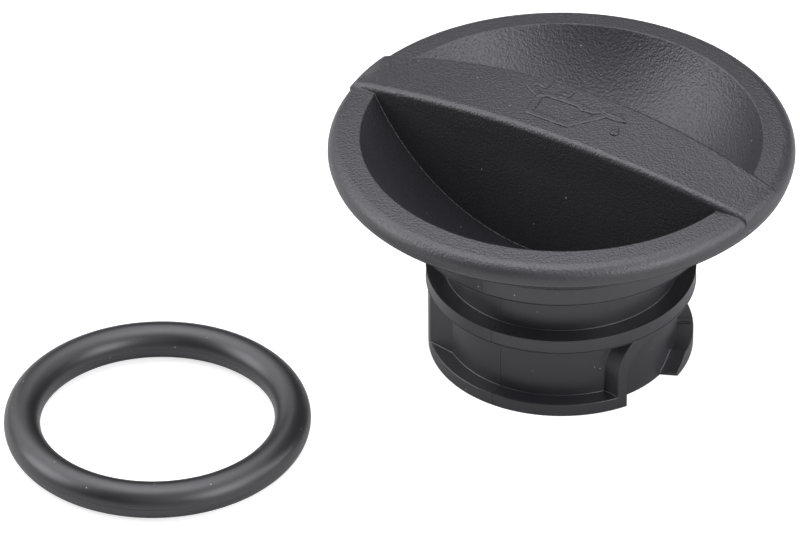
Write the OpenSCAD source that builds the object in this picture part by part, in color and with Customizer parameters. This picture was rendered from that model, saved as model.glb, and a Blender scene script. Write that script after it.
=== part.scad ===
// Oil filler cap with a bayonet spigot, and its sealing ring taken off and lying beside it.
// The cap stands on the lower face of its lugs: Z is its axis and z = 0 is that face.
// The cap is one moulding. Two side slides form the neck, so the walls of its pockets
// run along the way those slides pull.

/* [Rim] */
// Outer radius of the rim
rim_r = 34.25; // [32.5:0.25:38]
// Width of the flat band between the bowl and the outer edge
rim_band = 4.75; // [4:0.25:7]
// Thickness of the rim at the edge of the bowl
rim_t = 3.35; // [2.8:0.05:4.2]
// Radius of the rounded outer edge of the rim
rim_edge_r = 2; // [1.2:0.1:2.3]
// Height of the widest line of the rim above its underside
rim_edge_lift = 1.15; // [0.4:0.05:1.2]
// Height of the underside of the rim above the seat for the filler neck
rim_lift = 11.15; // [9.5:0.05:16]

/* [Bowl] */
// Depth of the bowl below the edge of the rim
bowl_depth = 17.65; // [14:0.05:19]
// Radius of the rounded edge between the bowl and the rim
bowl_edge_r = 0.8; // [0.3:0.1:1.5]
// Wall thickness of the bowl and of the grip bar
wall = 2.2; // [1.6:0.1:2.8]

/* [Grip bar] */
// Direction of the bar, seen from above
bar_angle = -32.4; // [-90:0.1:90]
// Width of the bar in the middle
bar_w = 13.2; // [11:0.1:18]
// Width of the bar at its ends
bar_end_w = 8.9; // [8:0.1:10.8]
// Height of the top of the bar in the middle, above the edge of the bowl
bar_rise = 4.5; // [2.5:0.1:8]
// Height of the top of the bar at its ends, above the underside of the rim
bar_end_rise = 3.25; // [2.8:0.05:4]
// Radius of the long rounded edges of the bar
bar_edge_r = 0.9; // [0.4:0.1:1.8]
// Radius of the rounded corners at the ends of the bar
bar_end_r = 1; // [0.5:0.1:1.6]
// Distance of the ends of the bar inside the widest line of the rim
bar_end_in = 0.1; // [0.05:0.05:0.6]

/* [Spigot] */
// Radius of the bore, open from below
bore_r = 14.6; // [12:0.1:15.2]
// Wall thickness of the drum between the lugs
drum_wall = 2.6; // [2.2:0.1:3.2]
// Wall thickness of the neck that the sealing ring fits on
neck_wall = 2.7; // [2.2:0.1:3.4]
// How far the lugs stand out from the drum
lug_reach = 2.5; // [2:0.1:3.6]
// How far the flange stands out past the lugs
flange_reach = 0.25; // [0.2:0.05:0.6]
// How far the collar, which seats on the filler neck, stands out past the flange
seat_reach = 2.65; // [1.9:0.05:4]
// Height of the flare between the drum and the flange
flare_h = 3.1; // [2:0.1:4]
// Height of the underside of the flange above the lower face
flange_z = 11.5; // [10:0.1:16]
// Thickness of the flange
flange_t = 2.2; // [1.6:0.1:4]
// Radius of the fillet between the neck and the collar
neck_fillet = 1; // [0.4:0.1:1.5]

/* [Bayonet] */
// Direction of the first entry slot, which is the way its slide pulls
entry_angle = -42; // [-60:1:-20]
// Angle from the first entry slot to the second
coding_angle = 151; // [140:1:165]
// Distance from the middle of an entry slot to its rib
entry_rib_side = 6.65; // [5:0.05:6.9]
// Thickness of the rib along an entry slot
rib_t = 1.35; // [1.2:0.05:2.4]
// Height at which the rib starts to curve over the slot
rib_straight = 4.3; // [3.5:0.1:4.6]
// Height at which the back of the rib starts to curve over
rib_back_straight = 5.6; // [4.8:0.1:7]
// Angle from the direction of an entry slot to the line in which the tip of its lug ends
tip_turn = 34.5; // [30:0.5:40]
// Distance from the axis to that line
tip_side = 7.6; // [7:0.1:8.5]
// Angle that a track turns through, from its entry slot to its stop
track_angle = 64; // [50:1:68]
// Height of the step between the top of a track and the flange
track_step = 0.7; // [0.4:0.1:1.5]
// Thickness of the lugs that hold the cap down
lug_t = 2.4; // [1.8:0.1:4]
// Thickness of the tip of a lug, below its lead-in ramp
lug_tip_t = 0.4; // [0.2:0.1:1]
// Length of the lead-in ramp of a lug
ramp_l = 3.2; // [2:0.1:5]
// Height of the detent ridge across a lug
detent_h = 0.4; // [0.2:0.1:0.8]
// Width of the detent ridge
detent_w = 0.8; // [0.6:0.1:1.5]
// Angle from an entry slot to its detent ridge
detent_angle = 44; // [34:1:48]
// Thickness of the floor below the blind pockets
pocket_floor = 2; // [1.4:0.1:3]
// Angle of solid wall behind the stop of a track
stop_angle = 14; // [10:1:16]
// Thickness of the slanted wall of the front pocket, where it is nearest to the bore
pocket_skin = 0.9; // [0.8:0.1:1.6]

/* [Sealing ring] */
// Thickness of the ring
ring_t = 5.33; // [4.5:0.01:6]
// How much larger in radius the neck is than the hole of the free ring
ring_stretch = 0.155; // [0:0.005:0.6]
// Height of the groove on the neck that the ring does not fill
groove_play = 2.97; // [1:0.01:5]
// Place of the middle of the ring, to the side of the cap
ring_x = -59.5; // [-80:0.5:-58]
// Place of the middle of the ring, in front of the cap
ring_y = -22.8; // [-30:0.1:0]

/* [Hidden] */
$fn = 128;
over = 1;
over_angle = 2;
set_in = 0.3;

neck_r = bore_r + neck_wall;
drum_r = bore_r + drum_wall;
lug_r = drum_r + lug_reach;
flange_r = lug_r + flange_reach;
collar_r = flange_r + seat_reach;
ring_hole_r = neck_r - ring_stretch;
flange_top = flange_z + flange_t;
collar_z = flange_top + ring_t + groove_play;
rim_under = collar_z + rim_lift;
edge_z = rim_under + rim_t;
edge_r = rim_r - rim_band;
bowl_r = (pow(edge_r, 2) + pow(bowl_depth, 2)) / (2 * bowl_depth);
bowl_mid = edge_z - bowl_depth + bowl_r;
bowl_out_r = bowl_r + wall;
bowl_centre = [0, bowl_mid];
collar_top = bowl_mid - sqrt(pow(bowl_out_r, 2) - pow(collar_r, 2));

// The band of the rim runs from the edge of the bowl to where it touches the round outer edge.
bowl_edge = [edge_r, edge_z];
rim_round = [rim_r - rim_edge_r, rim_under + rim_edge_lift];
to_edge = bowl_edge - rim_round;
touch_angle = atan2(to_edge[1], to_edge[0]) - acos(rim_edge_r / norm(to_edge));
rim_touch = rim_round + rim_edge_r * [cos(touch_angle), sin(touch_angle)];
band_way = (bowl_edge - rim_touch) / norm(bowl_edge - rim_touch);
band_up = [band_way[1], -band_way[0]];

bar_top = edge_z + bar_rise;
bar_end_top = rim_under + bar_end_rise;
bar_fall = bar_top - bar_end_top;
bar_narrowing = (bar_w - bar_end_w) / 2;
bar_lean = atan(bar_narrowing / bar_fall);
bar_sag = norm([bar_fall, bar_narrowing]);
bar_arc_r = (pow(rim_r, 2) + pow(bar_sag, 2)) / (2 * bar_sag);
bar_depth = bar_top - edge_z + bowl_depth + wall;

entries = [entry_angle, entry_angle + coding_angle];
track_top = flange_z - track_step;
slot_r = rim_r - wall;

function bar_half_w(s) = bar_w / 2 - bar_narrowing * pow(s / rim_r, 2);
function bar_z(s) = bar_top - bar_fall * pow(s / rim_r, 2);

// Outline of the rim: flat below, almost flat above, with a round outer edge.
module rim_section() {
    foot_x = rim_round[0] + sqrt(pow(rim_edge_r, 2) - pow(rim_edge_lift, 2));
    difference() {
        intersection() {
            union() {
                polygon([[edge_r - wall, rim_under], [foot_x, rim_under], rim_round, rim_touch,
                         bowl_edge, [edge_r - wall, edge_z]]);
                translate(rim_round) circle(r = rim_edge_r);
            }
            translate([0, rim_under]) square([rim_r + over, rim_t + over]);
        }
        bowl_edge_corner();
    }
}

// The sharp corner that the rounded edge of the bowl takes away.
module bowl_edge_corner() {
    off = bowl_edge - bowl_edge_r * band_up - bowl_centre;
    back = off * band_way + sqrt(pow(off * band_way, 2) - off * off + pow(bowl_r + bowl_edge_r, 2));
    centre = bowl_centre + off - back * band_way;
    inwards = (bowl_centre - centre) / norm(bowl_centre - centre);
    difference() {
        polygon([centre, centre + (bowl_edge_r + over) * band_up, bowl_edge + over * (band_up + inwards),
                 centre + (bowl_edge_r + over) * inwards]);
        translate(centre) circle(r = bowl_edge_r);
    }
}

// Outline of everything that is round about the axis.
module shell_section() {
    difference() {
        union() {
            rim_section();
            intersection() {
                translate([0, bowl_mid]) circle(r = bowl_out_r);
                translate([0, collar_z]) square([edge_r + wall, edge_z - collar_z]);
            }
            translate([0, collar_z]) square([collar_r, collar_top - collar_z]);
            square([neck_r, collar_z + over]);
            difference() {
                translate([0, collar_z - neck_fillet]) square([neck_r + neck_fillet, neck_fillet + over]);
                translate([neck_r + neck_fillet, collar_z - neck_fillet]) circle(r = neck_fillet);
            }
            translate([0, flange_z]) square([flange_r, flange_t]);
            square([drum_r, flange_z + over]);
        }
        translate([0, bowl_mid]) circle(r = bowl_r);
        difference() {
            translate([-over, -over]) square([bore_r + over, collar_top]);
            translate([0, bowl_mid]) circle(r = bowl_out_r);
        }
        translate([-2 * rim_r, -over]) square([2 * rim_r, 2 * bowl_mid]);
    }
}

// One half of the bar, swept along the arc of its long edge. The edge falls and draws in
// together towards the ends, so it is an arc in a leaning plane.
module bar_half() {
    centre_y = bar_w / 2 - bar_arc_r * sin(bar_lean);
    centre_z = bar_top - bar_arc_r * cos(bar_lean);
    sweep = 2 * asin((rim_r + over) / bar_arc_r);
    translate([0, centre_y, centre_z]) rotate([-90 - bar_lean, 0, 0]) rotate([0, 0, -90 - sweep / 2])
        rotate_extrude(angle = sweep) translate([bar_arc_r, 0]) rotate(-bar_lean) {
            translate([-bar_depth, -bar_w]) square([bar_depth - bar_edge_r, bar_w]);
            translate([-bar_depth, -bar_w]) square([bar_depth, bar_w - bar_edge_r]);
            translate([-bar_edge_r, -bar_edge_r]) circle(r = bar_edge_r);
        }
}

// What the bar may fill: the bowl down into its wall, and the rim out to its rounded ends.
// The rounding of the ends starts on the arc of the bar. Inwards from there, the roof is above it.
module bar_room() {
    end_slope = 2 * bar_fall / rim_r;
    roof_slope = 1.2 * end_slope;
    lean = atan(end_slope);
    round_x = rim_r - bar_end_in - bar_end_r;
    touch_x = round_x + bar_end_r * sin(lean);
    touch_z = bar_z(touch_x);
    round_z = touch_z - bar_end_r * cos(lean);
    translate([0, 0, bowl_mid]) sphere(r = bowl_r + wall / 2);
    rotate_extrude() {
        polygon([[0, rim_under], [round_x + bar_end_r, rim_under], [round_x + bar_end_r, round_z],
                 [round_x, round_z], [touch_x, touch_z], [0, touch_z + touch_x * roof_slope]]);
        translate([round_x, round_z]) circle(r = bar_end_r);
    }
}

module grip_bar() {
    rotate([0, 0, bar_angle]) intersection() {
        union() {
            intersection() {
                bar_half();
                translate([-rim_r - over, 0, 0]) cube([2 * (rim_r + over), bar_w, bar_top + over]);
            }
            mirror([0, 1, 0]) intersection() {
                bar_half();
                translate([-rim_r - over, 0, 0]) cube([2 * (rim_r + over), bar_w, bar_top + over]);
            }
        }
        bar_room();
    }
}

// Draws its children, which lie in a plane, as a slot that runs outwards along a direction.
module outwards(angle) {
    rotate([90, 0, 90 + angle]) linear_extrude(lug_r + over) children();
}

// The rib side of an entry slot: straight up, then curving over towards the track.
module slot_arch(reach, straight) {
    intersection() {
        translate([0, straight]) circle(r = reach);
        translate([-reach, straight]) square([reach, reach]);
    }
    translate([-reach, -over]) square([reach, straight + over]);
}

// The drum that the cuts leave, flaring out below the flange.
module track_floor() {
    cylinder(r = drum_r, h = flange_z);
    translate([0, 0, flange_z - flare_h]) cylinder(r1 = drum_r, r2 = lug_r, h = flare_h);
}

// The entry slot, the lead-in ramp and the track that the slot turns into. The ramp's cut starts
// well inside the slot.
module bayonet_cut(angle) {
    ramp_x = ramp_l - tip_side;
    start_x = -tip_side - entry_rib_side * cos(tip_turn);
    difference() {
        union() {
            outwards(angle) slot_arch(entry_rib_side, rib_straight);
            outwards(angle + tip_turn)
                polygon([[start_x, -over], [-tip_side, -over], [-tip_side, lug_tip_t],
                         [ramp_x, lug_t], [ramp_x, lug_t + over], [start_x, lug_t + over]]);
            rotate([0, 0, angle - over_angle]) rotate_extrude(angle = track_angle + over_angle)
                translate([bore_r, lug_t]) square([lug_r - bore_r + over, track_top - lug_t]);
        }
        track_floor();
    }
}

// A low ridge across the lug, which the tab of the filler neck clicks over.
module detent(angle) {
    rotate([0, 0, angle + detent_angle]) translate([drum_r - over, -detent_w / 2, lug_t - over])
        cube([lug_r - set_in - drum_r + over, detent_w, detent_h + over]);
}

// A blind pocket between the stop of one track and the rib of the next entry slot.
module pocket_cut(from_angle, to_entry) {
    difference() {
        rotate([0, 0, from_angle]) rotate_extrude(angle = to_entry - from_angle)
            translate([bore_r, pocket_floor]) square([lug_r - bore_r + over, flange_z - pocket_floor]);
        outwards(to_entry) {
            slot_arch(entry_rib_side + rib_t, rib_back_straight);
            translate([-over, -over]) square([lug_r, flange_z + 2 * over]);
        }
    }
}

module bayonet_ring() {
    pocket_side = entries[0] - 90 + 360;
    difference() {
        rotate_extrude() translate([drum_r - over, 0]) square([lug_reach + over, flange_z + flange_t / 2]);
        for (a = entries) bayonet_cut(a);
        pocket_cut(entries[0] + track_angle + stop_angle, entries[1]);
        pocket_cut(pocket_side, entries[0] + 360);
        rotate([0, 0, pocket_side]) translate([bore_r + pocket_skin, -lug_r, pocket_floor])
            cube([lug_r, lug_r + over, flange_z - pocket_floor]);
    }
    for (a = entries) detent(a);
}

// The bar is hollow from below: through the bore, and at both ends outside the collar.
module bar_core() {
    inner_w = 2 * (bar_half_w(bore_r) - wall);
    outer_w = 2 * (bar_half_w(slot_r) - wall);
    rotate([0, 0, bar_angle]) {
        intersection() {
            translate([-bore_r, -inner_w / 2, 0]) cube([2 * bore_r, inner_w, bar_top]);
            cylinder(r = bore_r - set_in, h = bar_top);
            translate([0, 0, bar_z(bore_r) - wall - bar_top]) cube([4 * rim_r, 4 * rim_r, 2 * bar_top], center = true);
        }
        for (side = [0, 180]) rotate([0, 0, side]) intersection() {
            translate([collar_r + wall, -outer_w / 2, collar_z])
                cube([slot_r - collar_r - wall, outer_w, bar_z(slot_r) - wall - collar_z]);
            cylinder(r = slot_r, h = bar_top);
        }
    }
}

module cap_body() {
    color("#3e3f43") difference() {
        union() {
            rotate_extrude() shell_section();
            grip_bar();
            bayonet_ring();
        }
        bar_core();
    }
}

module seal_ring() {
    color("#232428") translate([ring_x, ring_y, ring_t / 2])
        rotate_extrude() translate([ring_hole_r + ring_t / 2, 0]) circle(r = ring_t / 2);
}

cap_body();
seal_ring();
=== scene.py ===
# %% [markdown]
# # An oil filler cap and its sealing ring
# This lesson dresses a cap that was built as solids elsewhere. The cap is one moulding of dark
# glass-filled nylon, and a black rubber ring lies beside it. The ring stays as it is, and the cap
# is shown by a copy that is softened in two places. Most of the work is in what the eye reads as
# plastic and rubber: the grain etched into the mould, the soft edges, the thin lines where the
# mould parts, and a little dust.

# %% Load the cap and the ring
import math

import bpy
from mathutils import Matrix, Vector


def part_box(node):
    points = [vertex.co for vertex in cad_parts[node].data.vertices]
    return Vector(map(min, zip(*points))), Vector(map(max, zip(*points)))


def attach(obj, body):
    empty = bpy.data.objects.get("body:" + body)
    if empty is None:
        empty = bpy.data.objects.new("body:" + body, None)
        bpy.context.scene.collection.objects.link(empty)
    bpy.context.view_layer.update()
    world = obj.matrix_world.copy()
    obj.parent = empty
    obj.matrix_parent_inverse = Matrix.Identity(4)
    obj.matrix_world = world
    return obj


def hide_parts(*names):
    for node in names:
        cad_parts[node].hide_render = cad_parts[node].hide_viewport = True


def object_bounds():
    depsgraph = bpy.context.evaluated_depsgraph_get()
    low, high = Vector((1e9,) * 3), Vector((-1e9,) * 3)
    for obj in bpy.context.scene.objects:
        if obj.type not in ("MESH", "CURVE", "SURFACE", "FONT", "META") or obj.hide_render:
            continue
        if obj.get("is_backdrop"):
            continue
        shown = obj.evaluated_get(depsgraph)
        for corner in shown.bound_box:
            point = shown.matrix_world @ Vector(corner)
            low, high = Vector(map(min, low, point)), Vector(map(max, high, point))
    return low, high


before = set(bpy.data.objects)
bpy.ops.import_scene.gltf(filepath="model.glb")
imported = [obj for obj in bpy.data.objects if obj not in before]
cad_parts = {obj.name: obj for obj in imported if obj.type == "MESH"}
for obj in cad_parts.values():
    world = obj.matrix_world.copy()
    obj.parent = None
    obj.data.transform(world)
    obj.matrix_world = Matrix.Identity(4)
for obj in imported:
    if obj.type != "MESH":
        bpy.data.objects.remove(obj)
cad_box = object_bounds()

MM = 0.001
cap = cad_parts["cap_body"]
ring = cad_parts["seal_ring"]
print("box in mm:", [[round(v / MM, 1) for v in corner] for corner in cad_box])

# %% [markdown]
# ## Sizes to work from
# What is added has to sit on the cap, so its places come from the cap's own sizes. Z is the
# cap's axis. The height of the bar and the thickness of the ring are read from the solids, and
# the others are the radii and heights at which the cap changes its shape, from the rim down.

# %% Name the sizes
rim_r = 34.25 * MM
rim_round = 2 * MM
rim_round_z = 34.3 * MM
rim_under = 33.15 * MM
rim_foot_r = 33.89 * MM
band_r, band_z = 29.5 * MM, 36.5 * MM
wall = 2.2 * MM
bowl_r = 33.48 * MM
bowl_mid = 52.33 * MM
bar_turn = math.radians(-32.4)
bar_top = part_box("cap_body")[1].z
bar_end_top = 36.4 * MM
collar_r, collar_top, collar_z = 22.6 * MM, 26.8 * MM, 22 * MM
neck_r, neck_top = 17.3 * MM, 21 * MM
flange_r, flange_top, flange_z = 19.95 * MM, 13.7 * MM, 11.5 * MM
lug_r, lug_top = 19.7 * MM, 2 * MM
ring_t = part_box("seal_ring")[1].z


def bar_height(s):
    """Height of the bar's top at a distance s along it from the cap's axis."""
    return bar_top - (bar_top - bar_end_top) * (s / rim_r) ** 2


print("bar top in mm:", [round(bar_height(s) / MM, 2) for s in (0, rim_r / 2, rim_r)])

# %% [markdown]
# ## The camera
# A product picture like this is taken from far away with a long lens, so that the round rim
# keeps its true ellipse. The camera looks down at 35 degrees from 1.2 metres, and it is rolled by
# half a degree, as a camera on a tripod often is.

# %% Place the camera
camera_aim = Vector((-23.8, 6.2, 8.9)) * MM
camera_distance = 1190.1 * MM
camera_down = math.radians(35.244)
camera_roll = math.radians(-0.586)

bpy.ops.object.camera_add()
camera = bpy.context.object
camera.name = "camera"
camera.data.lens = 360
camera.data.sensor_width = 36
camera.matrix_world = (
    Matrix.Translation(camera_aim)
    @ Matrix.Rotation(math.pi / 2 - camera_down, 4, "X")
    @ Matrix.Rotation(camera_roll, 4, "Z")
    @ Matrix.Translation((0, 0, camera_distance))
)
bpy.context.scene.camera = camera
print("camera in mm:", [round(v / MM, 1) for v in camera.matrix_world.translation])

# %% [markdown]
# ## Helpers for materials
# A colour is easiest to pick as the hex value that a screen shows, but shaders work in linear
# light, so one function turns the one into the other. A second one adds a node, sets it up and
# links it, so that a material reads from top to bottom like a recipe.

# %% Turn screen colours to linear
def linear(hex_colour):
    """A colour such as 3e3f43, as four linear numbers."""
    parts = [int(hex_colour[i:i + 2], 16) / 255 for i in (0, 2, 4)]
    return [p / 12.92 if p <= 0.04045 else ((p + 0.055) / 1.055) ** 2.4 for p in parts] + [1.0]


print("mid grey in linear light:", round(linear("808080")[0], 3))

# %% Add a node with its settings and links
def add(tree, kind, inputs=None, **settings):
    """A new node. Each input is either a value or the socket that feeds it."""
    node = tree.nodes.new(kind)
    for name, value in settings.items():
        setattr(node, name, value)
    for name, value in (inputs or {}).items():
        if isinstance(value, bpy.types.NodeSocket):
            tree.links.new(value, node.inputs[name])
        else:
            node.inputs[name].default_value = value
    return node


def new_material(name):
    """An empty material with its output, and the place of each point in the object's own metres."""
    material = bpy.data.materials.new(name)
    material.use_nodes = True
    tree = material.node_tree
    tree.nodes.clear()
    output = add(tree, "ShaderNodeOutputMaterial")
    place = add(tree, "ShaderNodeTexCoord").outputs["Object"]
    return material, tree, output, place


def per_mm(size):
    """The texture scale at which one cell or wave is this many millimetres across."""
    return 1 / (size * MM)


# %% [markdown]
# ## Dust
# Dark matte plastic shows every speck. Each speck is a small ball in a cell pattern that the
# surface happens to cut, so it needs no list of places and looks the same from every side. One
# random number leaves some cells empty, and another gives each speck its own size. Real dust is
# finer, and it is drawn as coarse as it has to be to show.

# %% Specks of dust
def dust(tree, place, cell=2.6, radius=0.12, share=0.8):
    """A mask that is 1 on specks of dust and 0 between them. Sizes are in mm."""
    cells = add(tree, "ShaderNodeTexVoronoi", {"Vector": place, "Scale": per_mm(cell)})
    random = add(tree, "ShaderNodeSeparateColor", {"Color": cells.outputs["Color"]})
    kept = add(tree, "ShaderNodeMath", {0: random.outputs["Red"], 1: share}, operation="LESS_THAN")
    size = add(tree, "ShaderNodeMath", {
        0: random.outputs["Green"], 1: radius / cell}, operation="MULTIPLY")
    near = add(tree, "ShaderNodeMath", {
        0: cells.outputs["Distance"], 1: size.outputs[0]}, operation="LESS_THAN")
    specks = add(tree, "ShaderNodeMath", {
        0: near.outputs[0], 1: kept.outputs[0]}, operation="MULTIPLY")
    return specks.outputs[0]


# %% [markdown]
# ## Moulded nylon
# The cap is PA66 with about a third of glass fibre, moulded in a dark grey. The mould's upper
# half was etched with a leather grain: soft pebbles about 0.4 mm across with creases between
# them. The slides that form the spigot were only smoothed, which leaves a satin face with a
# faint flow pattern. To the eye that is one colour with two finishes. A Voronoi pattern gives
# the pebbles, noise bends their edges, and the height goes to a Bump node. A Bevel node turns
# the normals near each edge, so that edges catch a thin line of light as moulded edges do.

# %% Where the grain is
def grained_area(tree, place):
    """A mask that is 1 on the top, the bowl and the bar, and 0 on the spigot and below the rim."""
    height = add(tree, "ShaderNodeSeparateXYZ", {"Vector": place}).outputs["Z"]
    above = add(tree, "ShaderNodeMapRange", {
        "Value": height, "From Min": rim_under + 0.1 * MM, "From Max": rim_under + 0.5 * MM})
    middle = add(tree, "ShaderNodeVectorMath", {0: place, 1: (0, 0, bowl_mid)}, operation="DISTANCE")
    inside = add(tree, "ShaderNodeMath", {
        0: middle.outputs["Value"], 1: bowl_r + wall / 2}, operation="LESS_THAN")
    either = add(tree, "ShaderNodeMath", {
        0: above.outputs[0], 1: inside.outputs[0]}, operation="MAXIMUM")
    return either.outputs[0]


# %% The leather grain
def leather_height(tree, place, pebble=0.4):
    """Height of the grain from 0 in the creases to 1 on the pebbles. The size is in mm."""
    bend = add(tree, "ShaderNodeTexNoise", {"Vector": place, "Scale": per_mm(0.9), "Detail": 1.0})
    shift = add(tree, "ShaderNodeVectorMath", {
        0: bend.outputs["Color"], "Scale": 0.5 * MM}, operation="SCALE")
    bent = add(tree, "ShaderNodeVectorMath", {0: place, 1: shift.outputs[0]}, operation="ADD")
    pebbles = add(tree, "ShaderNodeTexVoronoi", {
        "Vector": bent.outputs[0], "Scale": per_mm(pebble), "Smoothness": 0.6}, feature="SMOOTH_F1")
    domed = add(tree, "ShaderNodeMath", {0: 1.0, 1: pebbles.outputs["Distance"]}, operation="SUBTRACT")
    fine = add(tree, "ShaderNodeTexNoise", {
        "Vector": bent.outputs[0], "Scale": per_mm(0.26), "Detail": 2.0})
    mixed = add(tree, "ShaderNodeMix", {"Factor": 0.5, 2: domed.outputs[0], 3: fine.outputs["Fac"]})
    return mixed.outputs[0]


# %% The nylon itself
def moulded_nylon():
    """Grained above the rim's foot and in the bowl, satin on the spigot."""
    material, tree, output, place = new_material("moulded_glass_filled_nylon")
    grained = grained_area(tree, place)
    specks = dust(tree, place)

    # The smooth faces carry a faint cloudiness from the flow of the glass fibres.
    flow = add(tree, "ShaderNodeTexNoise", {"Vector": place, "Scale": per_mm(6), "Detail": 3.0})
    plastic = add(tree, "ShaderNodeMix", {
        "Factor": flow.outputs["Fac"], 6: linear("18181b"), 7: linear("1e1e22")}, data_type="RGBA")
    dusty = add(tree, "ShaderNodeMix", {
        "Factor": specks, 6: plastic.outputs[2], 7: linear("a9a8a2")}, data_type="RGBA")

    # Etched grain scatters light more than the smoothed slides do.
    roughness = add(tree, "ShaderNodeMapRange", {"Value": grained, "To Min": 0.38, "To Max": 0.46})

    # The grain gets shallower on the rounded outer edge, where hands and the mould polish it.
    flat_place = add(tree, "ShaderNodeVectorMath", {0: place, 1: (1, 1, 0)}, operation="MULTIPLY")
    from_axis = add(tree, "ShaderNodeVectorMath", {0: flat_place.outputs[0]}, operation="LENGTH")
    fading = add(tree, "ShaderNodeMapRange", {
        "Value": from_axis.outputs["Value"], "From Min": rim_r - 0.9 * MM, "From Max": rim_r - 0.2 * MM,
        "To Min": 1.0, "To Max": 0.45})
    leather = leather_height(tree, place)
    etched = add(tree, "ShaderNodeMath", {0: grained, 1: fading.outputs[0]}, operation="MULTIPLY")
    shallow = add(tree, "ShaderNodeMath", {0: leather, 1: etched.outputs[0]}, operation="MULTIPLY")
    satin = add(tree, "ShaderNodeTexNoise", {"Vector": place, "Scale": per_mm(0.25), "Detail": 2.0})
    soft_edges = add(tree, "ShaderNodeBevel", {"Radius": 0.3 * MM}, samples=8)
    satin_bump = add(tree, "ShaderNodeBump", {
        "Strength": 0.3, "Distance": 0.03 * MM, "Height": satin.outputs["Fac"],
        "Normal": soft_edges.outputs[0]})
    grain_bump = add(tree, "ShaderNodeBump", {
        "Strength": 1.0, "Distance": 0.12 * MM, "Height": shallow.outputs[0],
        "Normal": satin_bump.outputs[0]})

    shader = add(tree, "ShaderNodeBsdfPrincipled", {
        "Base Color": dusty.outputs[2], "Roughness": roughness.outputs[0], "IOR": 1.53,
        "Specular IOR Level": 0.65, "Normal": grain_bump.outputs[0]})
    tree.links.new(shader.outputs[0], output.inputs["Surface"])
    return material


cap.material_slots[0].material = moulded_nylon()
print("cap finish:", cap.material_slots[0].material.name)

# %% [markdown]
# ## Nitrile rubber
# O-rings are pressed from black nitrile rubber in a polished mould. The surface is smooth but
# soft, so highlights are broad. Where the two halves of the mould meet, a trimmed seam runs
# round the ring at half its height, inside and outside. Rubber also gathers fine dust.

# %% The rubber
def nitrile_rubber():
    """Smooth black rubber with a fine seam at half the ring's height."""
    material, tree, output, place = new_material("pressed_nitrile_rubber")
    specks = dust(tree, place, cell=1.4, radius=0.1, share=0.6)
    bloom = add(tree, "ShaderNodeTexNoise", {"Vector": place, "Scale": per_mm(9), "Detail": 4.0})
    rubber = add(tree, "ShaderNodeMix", {
        "Factor": bloom.outputs["Fac"], 6: linear("131314"), 7: linear("1e1e20")}, data_type="RGBA")
    dusty = add(tree, "ShaderNodeMix", {
        "Factor": specks, 6: rubber.outputs[2], 7: linear("8f8f8c")}, data_type="RGBA")
    roughness = add(tree, "ShaderNodeMapRange", {
        "Value": bloom.outputs["Fac"], "To Min": 0.34, "To Max": 0.44})

    height = add(tree, "ShaderNodeSeparateXYZ", {"Vector": place}).outputs["Z"]
    from_seam = add(tree, "ShaderNodeMath", {0: height, 1: ring_t / 2}, operation="SUBTRACT")
    seam = add(tree, "ShaderNodeMath", {0: from_seam.outputs[0]}, operation="ABSOLUTE")
    ridge = add(tree, "ShaderNodeMapRange", {
        "Value": seam.outputs[0], "From Max": 0.08 * MM, "To Min": 1.0, "To Max": 0.0})
    skin = add(tree, "ShaderNodeTexNoise", {"Vector": place, "Scale": per_mm(0.35), "Detail": 2.0})
    skin_bump = add(tree, "ShaderNodeBump", {
        "Strength": 0.1, "Distance": 0.02 * MM, "Height": skin.outputs["Fac"]})
    seam_bump = add(tree, "ShaderNodeBump", {
        "Strength": 0.7, "Distance": 0.04 * MM, "Height": ridge.outputs[0],
        "Normal": skin_bump.outputs[0]})
    shader = add(tree, "ShaderNodeBsdfPrincipled", {
        "Base Color": dusty.outputs[2], "Roughness": roughness.outputs[0], "IOR": 1.52,
        "Specular IOR Level": 0.6, "Normal": seam_bump.outputs[0]})
    tree.links.new(shader.outputs[0], output.inputs["Surface"])
    return material


ring.material_slots[0].material = nitrile_rubber()
print("ring finish:", ring.material_slots[0].material.name)

# %% [markdown]
# ## Softer ends and an even rim
# On the real cap the ends of the bar run out in a wide rounding, as the outer edge of the rim
# does, and the band between the bowl and that edge is one even slope. The solid has sharper ends
# that stand out a little at their foot, and a step of 0.16 mm in the band. So a copy of its mesh
# is worked over: what stands above the wide rounding is pressed down onto it, the foot is drawn
# in to the outline of the rim, and the step is pressed down onto the slope. Each corner of the
# mesh carries the direction that it is shaded with. Those directions are kept for all that stays,
# and follow from the new shape where something moved.

# %% The shapes to press onto
round_middle_r = rim_r - rim_round
end_round_z = 34.9 * MM
end_half_width = 5.6 * MM
band_fall, band_run = 0.205 * MM, 2.891 * MM
band_slope = math.atan2(band_fall, band_run)
step_r, step_low = 31.7 * MM, 36.344 * MM
hair = 0.01 * MM
squarely, partly = 0.9, 0.5
print("band slope in degrees:", round(math.degrees(band_slope), 1))


# %% Draw in the foot of the bar's ends
def draw_in_foot(point, normal, out, past):
    """The new place of a point outside the rim's rounding, or None where it stays."""
    below = point.z - rim_round_z
    if past <= 0 or not -rim_round < below < 0:
        return None
    reach = math.sqrt(rim_round ** 2 - below ** 2)
    if past <= reach + hair / 2:
        return None
    turned = (out * reach + Vector((0, 0, below))) / rim_round
    faces_down = normal.z < -squarely
    return out * (round_middle_r + reach) + Vector((0, 0, point.z)), normal if faces_down else turned


# %% Round off the top of the bar's ends
def round_off_end(point, normal, out, past):
    """The new place of a point above the wide rounding, or None where it stays."""
    if past <= 5 * hair or normal.z <= -partly or point.z <= end_round_z + 10 * hair:
        return None
    limit = end_round_z + math.sqrt(max(rim_round ** 2 - past ** 2, 0))
    if point.z <= limit:
        return None
    turned = (out * past + Vector((0, 0, limit - end_round_z))) / rim_round
    across_bar = Vector((-math.sin(bar_turn), math.cos(bar_turn), 0))
    on_side = abs(normal.dot(across_bar)) > partly
    return Vector((point.x, point.y, limit)), normal if on_side else turned


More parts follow.
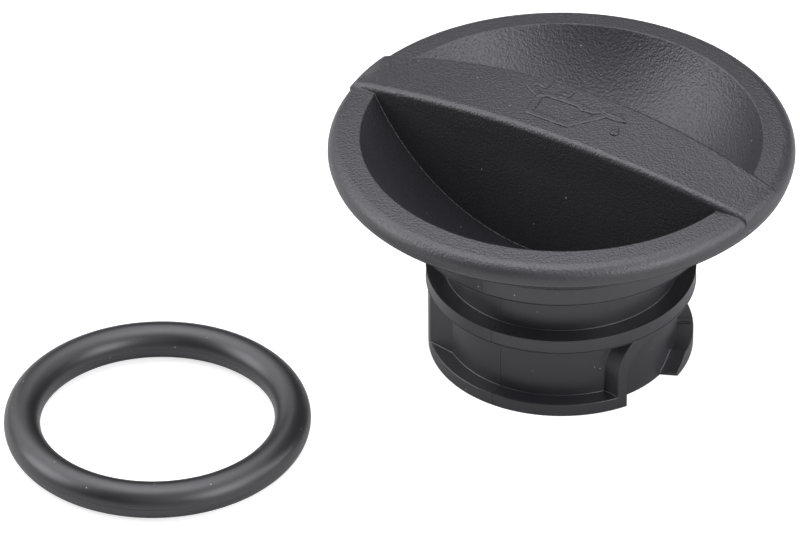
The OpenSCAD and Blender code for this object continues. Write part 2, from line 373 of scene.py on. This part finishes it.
# %% Level the step in the band
def level_step(point, normal, out, radius):
    """The new place of a point on the step of the band, or None where it stays."""
    in_reach = band_r - 2 * hair < radius < step_r + 2 * hair
    in_height = step_low - hair < point.z < band_z + hair
    faces_it = normal.z > squarely or normal.dot(out) > squarely
    if not in_reach or not in_height or not faces_it:
        return None
    sloped = out * math.sin(band_slope) + Vector((0, 0, math.cos(band_slope)))
    height = min(point.z, band_z - (radius - band_r) * math.tan(band_slope))
    return Vector((point.x, point.y, height)), sloped


# %% Choose what presses a point
def press(point, normal):
    """The new place and shading direction of one corner of the mesh."""
    out = Vector((point.x, point.y, 0))
    radius = out.length
    out.normalize()
    past = radius - round_middle_r
    across = abs(point.y * math.cos(bar_turn) - point.x * math.sin(bar_turn))
    found = None
    if across < end_half_width:
        found = draw_in_foot(point, normal, out, past) or round_off_end(point, normal, out, past)
    return found or level_step(point, normal, out, radius) or (point, normal)


end_point = Vector((rim_r * math.cos(bar_turn), rim_r * math.sin(bar_turn), bar_end_top))
end_place = press(end_point, Vector((0, 0, 1)))[0]
print("the end of the bar comes down by mm:", round((end_point - end_place).length / MM, 2))

# %% Copy the cap and close the copy
def merge_doubles(piece, gap):
    """Merges the points of a piece that lie closer together than this."""
    bpy.ops.object.select_all(action="DESELECT")
    piece.select_set(True)
    bpy.context.view_layer.objects.active = piece
    bpy.ops.object.mode_set(mode="EDIT")
    bpy.ops.mesh.select_all(action="SELECT")
    bpy.ops.mesh.remove_doubles(threshold=gap)
    bpy.ops.object.mode_set(mode="OBJECT")


bpy.ops.object.select_all(action="DESELECT")
cap.select_set(True)
bpy.context.view_layer.objects.active = cap
bpy.ops.object.duplicate(linked=False)
skin = bpy.context.object
skin.name = "cap_skin"
mesh = skin.data
shaded = mesh.attributes.new("shaded", "FLOAT_VECTOR", "CORNER")
for loop, corner in zip(mesh.loops, mesh.corner_normals):
    shaded.data[loop.index].vector = corner.vector
weld = 0.008 * MM
merge_doubles(skin, weld)
print("points in the copy:", len(mesh.vertices))

# %% Press the copy
shaded = mesh.attributes["shaded"]
pressed = {}
for loop in mesh.loops:
    here = mesh.vertices[loop.vertex_index].co
    place, direction = press(here, shaded.data[loop.index].vector)
    shaded.data[loop.index].vector = direction
    if (place - here).length > 0:
        pressed[loop.vertex_index] = place
for index, place in pressed.items():
    mesh.vertices[index].co = place
merge_doubles(skin, weld)
bpy.ops.object.shade_smooth()
directions = [tuple(item.vector.normalized()) for item in mesh.attributes["shaded"].data]
mesh.attributes.remove(mesh.attributes["shaded"])
mesh.normals_split_custom_set(directions)
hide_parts("cap_body")
print("points pressed:", len(pressed))

# %% [markdown]
# ## Raised bands
# The sign on the bar and the flash lines of the mould are thin ridges that follow a path. A
# path is drawn as by hand: a plane is merged to one point, and that point is extruded from
# place to place. Turned into a curve, it gets its width and its rounded top from the curve's
# own bevel, which also keeps the width even round each corner.

# %% Draw a path by extruding a point
def draw_path(name, points):
    """A chain of edges through points, in metres."""
    bpy.ops.object.select_all(action="DESELECT")
    bpy.ops.mesh.primitive_plane_add(size=MM, location=points[0])
    path = bpy.context.object
    path.name = name
    bpy.ops.object.mode_set(mode="EDIT")
    bpy.ops.mesh.select_all(action="SELECT")
    bpy.ops.mesh.merge(type="CENTER")
    for here, there in zip(points, points[1:]):
        step = Vector(there) - Vector(here)
        bpy.ops.mesh.extrude_region_move(TRANSFORM_OT_translate={"value": step})
    bpy.ops.object.mode_set(mode="OBJECT")
    bpy.ops.object.transform_apply(location=True, rotation=True, scale=True)
    return path


# %% Give a path its width and height
def sweep(path, width, height, closed=False):
    """Turns a path into a flat band with round edges, width across and height thick, as a mesh."""
    bpy.ops.object.select_all(action="DESELECT")
    path.select_set(True)
    bpy.context.view_layer.objects.active = path
    bpy.ops.object.convert(target="CURVE")
    curve = path.data
    curve.dimensions = "3D"
    curve.twist_mode = "Z_UP"
    curve.extrude = (width - height) / 2
    curve.bevel_depth = height / 2
    curve.bevel_resolution = 3
    curve.use_fill_caps = True
    for spline in curve.splines:
        spline.use_cyclic_u = closed
        for point in spline.points:
            point.tilt = math.pi / 2
    bpy.ops.object.convert(target="MESH")
    merge_doubles(path, 0.002 * MM)
    return path


# %% [markdown]
# ## The lines that the mould leaves
# Where two parts of a mould meet, a hair of plastic creeps into the joint. On the round edges of
# the spigot it stays as a thin ring. Two slides form the neck and the drum, so a thin line also
# runs down them from the collar to the lug. These lines are only 0.13 mm wide, but they catch the
# light, and they tell the eye that this is a moulding.

# %% The line where the slides meet
def at(radius, height, turn):
    """A point at a radius and height, turned about the cap's axis."""
    return (radius * math.cos(turn), radius * math.sin(turn), height)


slide_turn = math.radians(-122)
flash = 0.13 * MM
down_the_spigot = [
    (collar_r, collar_top),
    (collar_r, collar_z),
    (neck_r, neck_top),
    (neck_r, flange_top),
    (flange_r, flange_top),
    (flange_r, flange_z),
    (neck_r, flange_z),
    (neck_r, lug_top),
    (lug_r, lug_top),
    (lug_r, flash),
]
slide_points = [at(radius, height, slide_turn) for radius, height in down_the_spigot]
slide_line = draw_path("slide_line", slide_points)
sweep(slide_line, flash, flash)

# %% Rings of flash on the round edges
edges = {
    "rim_flash": (rim_foot_r, rim_under),
    "collar_flash": (collar_r, collar_z),
    "flange_top_flash": (flange_r, flange_top),
    "flange_flash": (flange_r, flange_z),
}
flash_lines = [slide_line]
for name, (radius, height) in edges.items():
    bpy.ops.object.select_all(action="DESELECT")
    bpy.ops.mesh.primitive_torus_add(
        major_radius=radius, minor_radius=flash / 2, major_segments=256, minor_segments=8,
        location=(0, 0, height))
    line = bpy.context.object
    line.name = name
    bpy.ops.object.transform_apply(location=True, rotation=True, scale=True)
    flash_lines.append(line)
for line in flash_lines:
    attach(line, "root")
print("flash lines:", [line.name for line in flash_lines])

# %% [markdown]
# ## The sign on the bar
# A raised sign of an oil can with a drop below its spout tells what is filled in here. It is
# the common sign for engine oil and no maker's own. The bands are 1.2 mm wide, stand 0.2 mm
# proud and have the same grain as the bar, so only their edges show. Each line is drawn flat, as
# seen from above with the bar along X, then it is laid onto the bar's arch and turned with it.

# %% The lines of the sign
sign_band = 1.2 * MM
sign_height = 0.36 * MM
sign_lift = 0.02 * MM
closed_lines = {"can"}
sign_lines = {
    "can": [(-3.9, -2.9), (2.6, -3.1), (6.2, 2.2), (9.2, 2.4), (8.0, 3.1), (5.6, 3.1), (4.2, 1.9),
            (2.8, 1.7), (1.6, 2.3), (-3.6, 2.3), (-4.6, 1.6)],
    "handle": [(-4.4, 1.4), (-7.4, 3.1), (-6.7, 4.4), (-4.8, 4.0)],
    "knob": [(-2.2, 3.9), (-0.6, 3.9)],
    "knob_stem": [(-1.4, 2.6), (-1.4, 3.8)],
}


def lay_on_bar(piece, lift):
    """Moves a flat piece up onto the bar's arched top and turns it to the bar's direction."""
    for vertex in piece.data.vertices:
        vertex.co.z += bar_height(vertex.co.x) + lift
    piece.data.transform(Matrix.Rotation(bar_turn, 4, "Z"))


reach = [x for line in sign_lines.values() for x, y in line]
print("sign length in mm:", round(max(reach) - min(reach), 1))

# %% Sweep the lines into bands
def split_steps(points, closed, longest=1.5):
    """Adds points so that no step is longer than this, to let the band follow the arch."""
    found = [points[0]]
    ends = points[1:] + points[:1] if closed else points[1:]
    for a, b in zip(points, ends):
        count = max(1, math.ceil(math.dist(a, b) / longest))
        found += [[a[k] + (b[k] - a[k]) * (i + 1) / count for k in (0, 1)] for i in range(count)]
    if closed:
        found.pop()
    return [(x * MM, y * MM, 0) for x, y in found]


bands = []
for name, points in sign_lines.items():
    closed = name in closed_lines
    path = draw_path("sign_" + name, split_steps(points, closed))
    bands.append(sweep(path, sign_band, sign_height, closed))
print("bands of the sign:", len(bands))

# %% The drop below the spout
drop_x, drop_y, drop_r = 9.45 * MM, -0.8 * MM, 0.62 * MM
drop_taper = 0.75 * MM
drop_stretch = 1.2

bpy.ops.object.select_all(action="DESELECT")
bpy.ops.mesh.primitive_cylinder_add(
    vertices=24, radius=drop_r, depth=sign_height, location=(drop_x, drop_y, 0))
drop = bpy.context.object
bpy.ops.object.transform_apply(location=True, rotation=True, scale=True)
for vertex in drop.data.vertices:
    above_middle = vertex.co.y - drop_y
    if above_middle > 0:
        vertex.co.x += (drop_x - vertex.co.x) * above_middle / drop_taper
        vertex.co.y += above_middle * drop_stretch
bands.append(drop)
print("drop length in mm:", round(drop.dimensions.y / MM, 2))

# %% Join the bands and lay them on the bar
bpy.ops.object.select_all(action="DESELECT")
for band in bands:
    band.select_set(True)
bpy.context.view_layer.objects.active = bands[0]
bpy.ops.object.join()
sign = bpy.context.object
sign.name = "raised_sign"
lay_on_bar(sign, sign_lift)
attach(sign, "root")
print("sign faces:", len(sign.data.polygons))

# %% The finishes of the sign and of the flash lines
def smooth_nylon():
    """The same nylon where the mould parts, with no grain and no dust."""
    material, tree, output, place = new_material("smooth_glass_filled_nylon")
    satin = add(tree, "ShaderNodeTexNoise", {"Vector": place, "Scale": per_mm(0.25), "Detail": 2.0})
    satin_bump = add(tree, "ShaderNodeBump", {
        "Strength": 0.12, "Distance": 0.02 * MM, "Height": satin.outputs["Fac"]})
    flow = add(tree, "ShaderNodeTexNoise", {"Vector": place, "Scale": per_mm(6), "Detail": 3.0})
    plastic = add(tree, "ShaderNodeMix", {
        "Factor": flow.outputs["Fac"], 6: linear("18181b"), 7: linear("1e1e22")}, data_type="RGBA")
    shader = add(tree, "ShaderNodeBsdfPrincipled", {
        "Base Color": plastic.outputs[2], "Roughness": 0.48, "IOR": 1.53,
        "Normal": satin_bump.outputs[0]})
    tree.links.new(shader.outputs[0], output.inputs["Surface"])
    return material


smooth = smooth_nylon()
finishes = {sign: cap.material_slots[0].material, **{line: smooth for line in flash_lines}}
for piece, finish in finishes.items():
    piece.data.materials.clear()
    piece.data.materials.append(finish)

# %% [markdown]
# ## Floor, background and light
# The floor is one pale sheet. The light is that of a tent of white cloth: soft panels stand all
# round and above, and each has its own power. The sides and the front right are the brightest and
# the front is nearly dark, so the faces that look at the camera stay darker than the top. The
# floor keeps the shadow of the cap, and it is only whitened for what the camera and the
# reflections see of it.

# %% The floor
paper_glow = 0.35
seen_glow, mirrored_glow = 1.9, 1.2
mirror_starts, mirror_full = 0.12, 0.5
floor_size = 6


def pale_floor():
    """Pale paper that the camera and the reflections see as nearly white."""
    material, tree, output, place = new_material("pale_paper_floor")
    mottle = add(tree, "ShaderNodeTexNoise", {"Vector": place, "Scale": per_mm(60), "Detail": 2.0})
    paper = add(tree, "ShaderNodeMix", {
        "Factor": mottle.outputs["Fac"], 6: linear("efefee"), 7: linear("f3f3f2")}, data_type="RGBA")
    shader = add(tree, "ShaderNodeBsdfDiffuse", {"Color": paper.outputs[2]})
    seen = add(tree, "ShaderNodeLightPath")
    away = add(tree, "ShaderNodeVectorMath", {0: place}, operation="LENGTH")
    sweep_end = add(tree, "ShaderNodeMapRange", {
        "Value": away.outputs["Value"], "From Min": mirror_starts, "From Max": mirror_full,
        "To Max": mirrored_glow})
    mirrored = add(tree, "ShaderNodeMath", {
        0: sweep_end.outputs[0], 1: seen.outputs["Is Glossy Ray"]}, operation="MULTIPLY")
    direct = add(tree, "ShaderNodeMath", {
        0: seen.outputs["Is Camera Ray"], 1: seen_glow}, operation="MULTIPLY")
    strength = add(tree, "ShaderNodeMath", {0: mirrored.outputs[0], 1: direct.outputs[0]})
    glow = add(tree, "ShaderNodeEmission", {"Color": (1, 1, 1, 1), "Strength": strength.outputs[0]})
    both = add(tree, "ShaderNodeMixShader", {
        0: paper_glow, 1: shader.outputs[0], 2: glow.outputs[0]})
    tree.links.new(both.outputs[0], output.inputs["Surface"])
    return material


bpy.ops.mesh.primitive_plane_add(size=floor_size, location=(0, 0, 0))
floor = bpy.context.object
floor.name = "floor"
floor.data.materials.append(pale_floor())
floor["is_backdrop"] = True
print("floor in metres:", floor_size, "by", floor_size)

# %% The lamps
# Each row holds the direction in degrees from +X and up from the floor, and the power in watts.
lamps = {
    "above": (0, 90, 5.5),
    "behind_high": (90, 55, 2.5),
    "behind_left_high": (135, 55, 2.8),
    "behind_left_low": (135, 25, 1.8),
    "behind_right_high": (45, 55, 1.4),
    "left_high": (180, 55, 2.5),
    "left_low": (180, 25, 6.9),
    "right_high": (0, 55, 1.5),
    "right_low": (0, 25, 4.4),
    "front_high": (270, 55, 0.8),
    "front_low": (270, 25, 0.8),
    "front_right_high": (315, 55, 0.8),
    "front_right_low": (315, 25, 7.5),
}
lamp_aim = Vector((-0.01, 0, 0.02))
lamp_away = 1.0
lamp_size = 0.6
lamp_tint = (0.95, 0.945, 1.0)


def panel(name, turn, rise, power):
    """A soft square lamp that looks at the cap."""
    turn, rise = math.radians(turn), math.radians(rise)
    out = Vector((math.cos(turn) * math.cos(rise), math.sin(turn) * math.cos(rise), math.sin(rise)))
    bpy.ops.object.light_add(type="AREA", location=lamp_aim + lamp_away * out)
    lamp = bpy.context.object
    lamp.name = "panel_" + name
    lamp.data.size = lamp_size
    lamp.data.energy = power
    lamp.data.color = lamp_tint
    lamp.rotation_euler = (-out).to_track_quat("-Z", "Y").to_euler()


for name, setting in lamps.items():
    panel(name, *setting)
print("lamps:", len(lamps), "with", round(sum(setting[2] for setting in lamps.values()), 1), "watts")

# %% The background
room_light = 0.02
world = bpy.data.worlds.new("pale_room")
bpy.context.scene.world = world
world.use_nodes = True
sky = world.node_tree
sky.nodes.clear()
sky_output = add(sky, "ShaderNodeOutputWorld")
rays = add(sky, "ShaderNodeLightPath")
seen_strength = add(sky, "ShaderNodeMapRange", {
    "Value": rays.outputs["Is Camera Ray"], "To Min": room_light, "To Max": 1.0})
backdrop = add(sky, "ShaderNodeBackground", {
    "Color": (1, 1, 1, 1), "Strength": seen_strength.outputs[0]})
sky.links.new(backdrop.outputs[0], sky_output.inputs["Surface"])
bpy.context.scene.view_settings.view_transform = "Standard"
print("light of the room beside the lamps:", room_light)

# %% [markdown]
# ## The size, measured
# What was added must not make the cap any larger, so the box before and after is written down. The
# sign alone stands 0.2 mm above the highest point of the bar.

# %% Measure and finish
visual_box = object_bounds()
for side, before, after in zip(("lowest", "highest"), cad_box, visual_box):
    print(side, "corner moved in mm:", [round((b - a) / MM, 2) for a, b in zip(before, after)])
